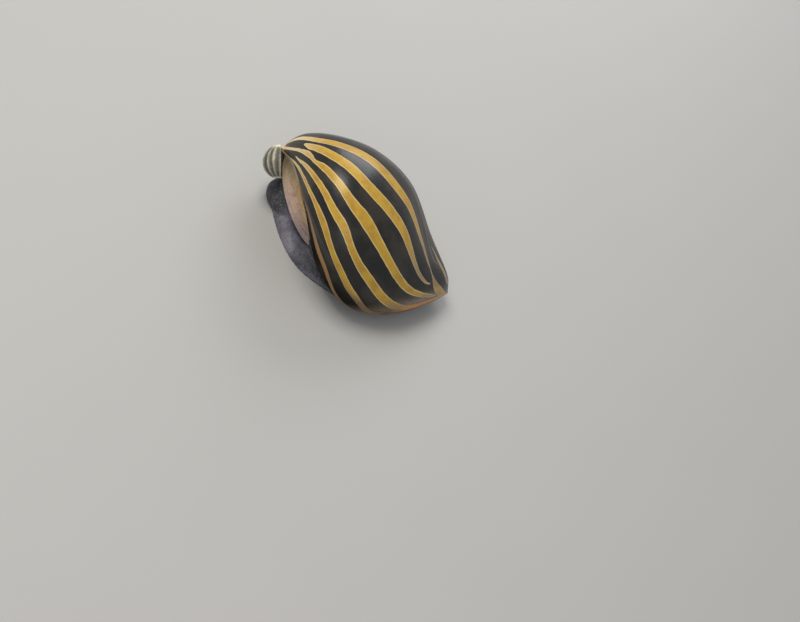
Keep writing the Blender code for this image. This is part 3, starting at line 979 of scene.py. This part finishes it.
def softSkinMaterial():
    mat, skin = newMaterial("snail_skin")
    place = placeFrom(mat, "Object")
    cloud = noiseOf(mat, place, 420, 4.0, 0.6)
    fine = noiseOf(mat, place, 2400, 4.0, 0.6)
    speck = cellsOf(mat, place, 3800)
    spot = node(mat, "ShaderNodeSeparateXYZ")
    feed(mat, spot.inputs[0], place)
    height = spot.outputs["Z"]
    # the flanks near the tail and the border by the floor are pale
    along = plus(mat, spot.outputs["Y"], waver(mat, cloud, 3 * mm))
    flank = times(mat, spread(mat, along, 8.2 * mm, 6.6 * mm), spread(mat, along, 0.5 * mm, 3.5 * mm))
    flank = times(mat, flank, spread(mat, height, 2.4 * mm, 1.2 * mm))
    border = spread(mat, height, 0.7 * mm, 0.15 * mm, 0.0, 0.55)
    low = sums(mat, "MAXIMUM", flank, border)
    dark = mixColours(mat, spread(mat, cloud, 0.4, 0.62), *body["dark"])
    pale = mixColours(mat, spread(mat, cloud, 0.35, 0.65), *body["pale"])
    colour = mixColours(mat, times(mat, low, body["paleShare"]), dark, pale)
    freckle = times(mat, spread(mat, speck, 0.45, 0.15), spread(mat, cloud, 0.3, 0.6, 0.1, 0.5))
    colour = mixColours(mat, freckle, colour, body["freckle"])
    colour = mixColours(mat, spread(mat, fine, 0.56, 0.70, 0.0, 0.6), colour, body["crease"])
    feed(mat, skin.inputs["Base Color"], colour)
    feed(mat, skin.inputs["Roughness"], spread(mat, fine, 0.3, 0.7, 0.45, 0.65))
    skin.inputs["Subsurface Weight"].default_value = body["glowShare"]
    skin.inputs["Subsurface Radius"].default_value = [depth * mm for depth in body["glowDepth"]]
    skin.inputs["Subsurface Scale"].default_value = 1.0
    wrinkle = bumpFrom(mat, cloud, 0.4, 0.15 * mm)
    feed(mat, skin.inputs["Normal"], bumpFrom(mat, fine, 0.4, 0.05 * mm, wrinkle))
    return mat


skinPiece = makeSkin()
skinPiece.data.materials.clear()
skinPiece.data.materials.append(softSkinMaterial())
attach(skinPiece, "root")
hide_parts("foot", "head", "snout", "mantle", "eyestalk_left", "eyestalk_right",
            "tentacle_left_base", "tentacle_left_middle", "tentacle_left_tip",
            "tentacle_right_base", "tentacle_right_middle", "tentacle_right_tip")
print("skin done:", len(skinPiece.data.polygons), "faces")


# eyes at the ends of the stalks

eye = {
    "radius": 0.3,
    "flattened": 0.96,
    "gap": 0.3,  # from the stalk's end
    "lift": 0.03,
    "black": ((0.006, 0.006, 0.008), (0.016, 0.014, 0.02)),
    "roughness": 0.08,
    "wet": 0.6,
}


def eyeMaterial():
    mat, ball = newMaterial("eye_black")
    shade = noiseOf(mat, placeFrom(mat, "Object"), 2500, 2.0, 0.5)
    feed(mat, ball.inputs["Base Color"], mixColours(mat, spread(mat, shade, 0.4, 0.6), *eye["black"]))
    ball.inputs["Roughness"].default_value = eye["roughness"]
    ball.inputs["Coat Weight"].default_value = eye["wet"]
    return mat


eyeBlack = eyeMaterial()
for side in feelers:
    root, end = stalkEnds(side)
    radius = eye["radius"]
    centre = end + Vector((outwards(side) * (radius + eye["gap"]), 0, eye["lift"]))
    eyeBall = ballAt(f"eye_ball_{side}", centre, (radius * eye["flattened"], radius, radius), 40, 24)
    smoothAll(eyeBall)
    eyeBall.data.materials.append(eyeBlack)
    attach(eyeBall, "root")
    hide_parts(f"eye_{side}")
print("eyes done")


# floor, light and camera

studio = {
    "floor": (0.50, 0.485, 0.455),
    "floorDarker": 0.97,
    "floorSize": 2400,
    "floorRoughness": 0.7,
    "world": (0.82, 0.86, 0.92),
    "worldStrength": 0.42,
    "lamps": {  # place, size, watts, colour
        "key": ((-40, 110, 220), 110, 0.36, (1.0, 0.97, 0.92)),
        "fill": ((-230, -90, 110), 180, 0.14, (0.92, 0.96, 1.0)),
        "rim": ((160, 60, 110), 120, 0.14, (0.95, 0.97, 1.0)),
    },
}
view = {
    "place": (-122.30, -27.81, 105.14),
    "lookAt": (-2.03, -9.65, 1.20),
    "roll": 37.64,
    "lens": 65.5,
    "near": 1,
    "far": 10000,
}


def makeStudio():
    deselectAll()
    bpy.ops.mesh.primitive_plane_add(size=studio["floorSize"] * mm)
    ground = named("studio_floor")
    mat, surface = newMaterial("pale_floor")
    grain = noiseOf(mat, placeFrom(mat, "Object"), 60, 3.0, 0.5)
    darker = tuple(studio["floorDarker"] * c for c in studio["floor"])
    feed(mat, surface.inputs["Base Color"], mixColours(mat, grain, studio["floor"], darker))
    surface.inputs["Roughness"].default_value = studio["floorRoughness"]
    ground.data.materials.append(mat)
    world = bpy.data.worlds.new("studio_air")
    bpy.context.scene.world = world
    world.use_nodes = True
    air = world.node_tree.nodes["Background"]
    air.inputs["Color"].default_value = (*studio["world"], 1.0)
    air.inputs["Strength"].default_value = studio["worldStrength"]
    for name, (spot, size, watts, colour) in studio["lamps"].items():
        deselectAll()
        bpy.ops.object.light_add(type="AREA", location=Vector(spot) * mm)
        lamp = bpy.context.active_object
        lamp.name = f"lamp_{name}"
        lamp.data.size = size * mm
        lamp.data.energy = watts
        lamp.data.color = colour
        lamp.rotation_euler = (-Vector(spot)).to_track_quat("-Z", "Y").to_euler()


def makeCamera():
    deselectAll()
    place, target = Vector(view["place"]), Vector(view["lookAt"])
    facing = (target - place).to_track_quat("-Z", "Y").to_matrix()
    turn = facing @ Matrix.Rotation(math.radians(view["roll"]), 3, "Z")
    bpy.ops.object.camera_add(location=place * mm, rotation=turn.to_euler())
    camera = bpy.context.active_object
    camera.name = "photo_camera"
    camera.data.lens = view["lens"]
    camera.data.clip_start = view["near"] * mm
    camera.data.clip_end = view["far"] * mm
    bpy.context.scene.camera = camera


makeStudio()
makeCamera()
bpy.context.scene.view_settings.view_transform = "Standard"
print("studio done")
